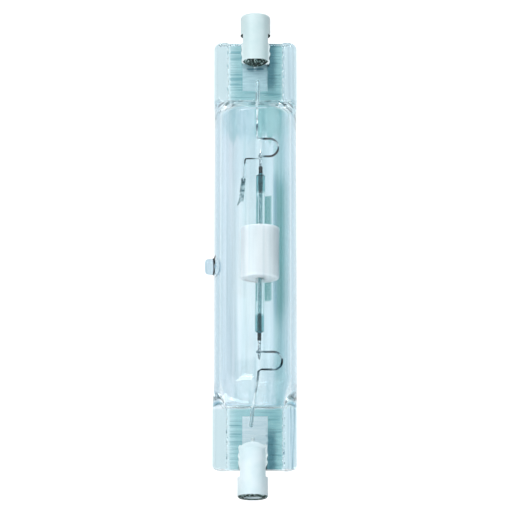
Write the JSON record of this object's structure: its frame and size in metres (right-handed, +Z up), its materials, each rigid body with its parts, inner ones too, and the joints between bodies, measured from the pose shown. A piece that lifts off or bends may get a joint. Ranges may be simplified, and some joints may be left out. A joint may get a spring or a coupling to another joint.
{
  "type": "metal halide lamp",
  "caption": "Double-ended metal halide lamp: pinched quartz tube with a ceramic arc tube inside and slotted ceramic end caps with recessed contacts.",
  "frame": {"origin": "on the tube's axis at mid length, at the light centre", "axes": "+Y along the tube towards end A, the end with the getter; +Z up, square to the flat pinched ends; +X away from the exhaust tip"},
  "size_m": [0.0223, 0.1196, 0.02],
  "materials": {
    "quartz": "clear",
    "cap_ceramic": "satin",
    "cement": "rough",
    "contact_metal": "worn",
    "foil": "smooth",
    "lead_wire": "bright",
    "niobium": "dull",
    "collar": "dark",
    "getter_metal": "matt",
    "alumina": "translucent",
    "frit": "glassy",
    "tungsten": "dull",
    "halide": "crystalline",
    "mercury": "mirror"
  },
  "bodies": {
    "root": {"outer_envelope": "quartz", "end_cap_a": "cap_ceramic", "end_cap_b": "cap_ceramic", "contact_a": "contact_metal", "contact_b": "contact_metal", "cap_cement_a": "cement", "cap_cement_b": "cement", "seal_foil_a": "foil", "seal_foil_b": "foil", "outer_lead_a": "lead_wire", "outer_lead_b": "lead_wire", "inner_lead_a": "lead_wire", "inner_lead_b": "lead_wire", "getter_wire": "lead_wire", "getter_strip": "getter_metal", "arc_tube_body": "alumina", "end_plug_a": "alumina", "end_plug_b": "alumina", "capillary_a": "alumina", "capillary_b": "alumina", "frit_seal_a": "frit", "frit_seal_b": "frit", "niobium_lead_a": "niobium", "niobium_lead_b": "niobium", "stop_collar_a": "collar", "stop_collar_b": "collar", "moly_rod_a": "tungsten", "moly_rod_b": "tungsten", "moly_coil_a": "tungsten", "moly_coil_b": "tungsten", "electrode_a": "tungsten", "electrode_b": "tungsten", "electrode_coil_a": "tungsten", "electrode_coil_b": "tungsten", "halide_dose": "halide", "mercury_drop": "mercury"}
  },
  "joints": []
}
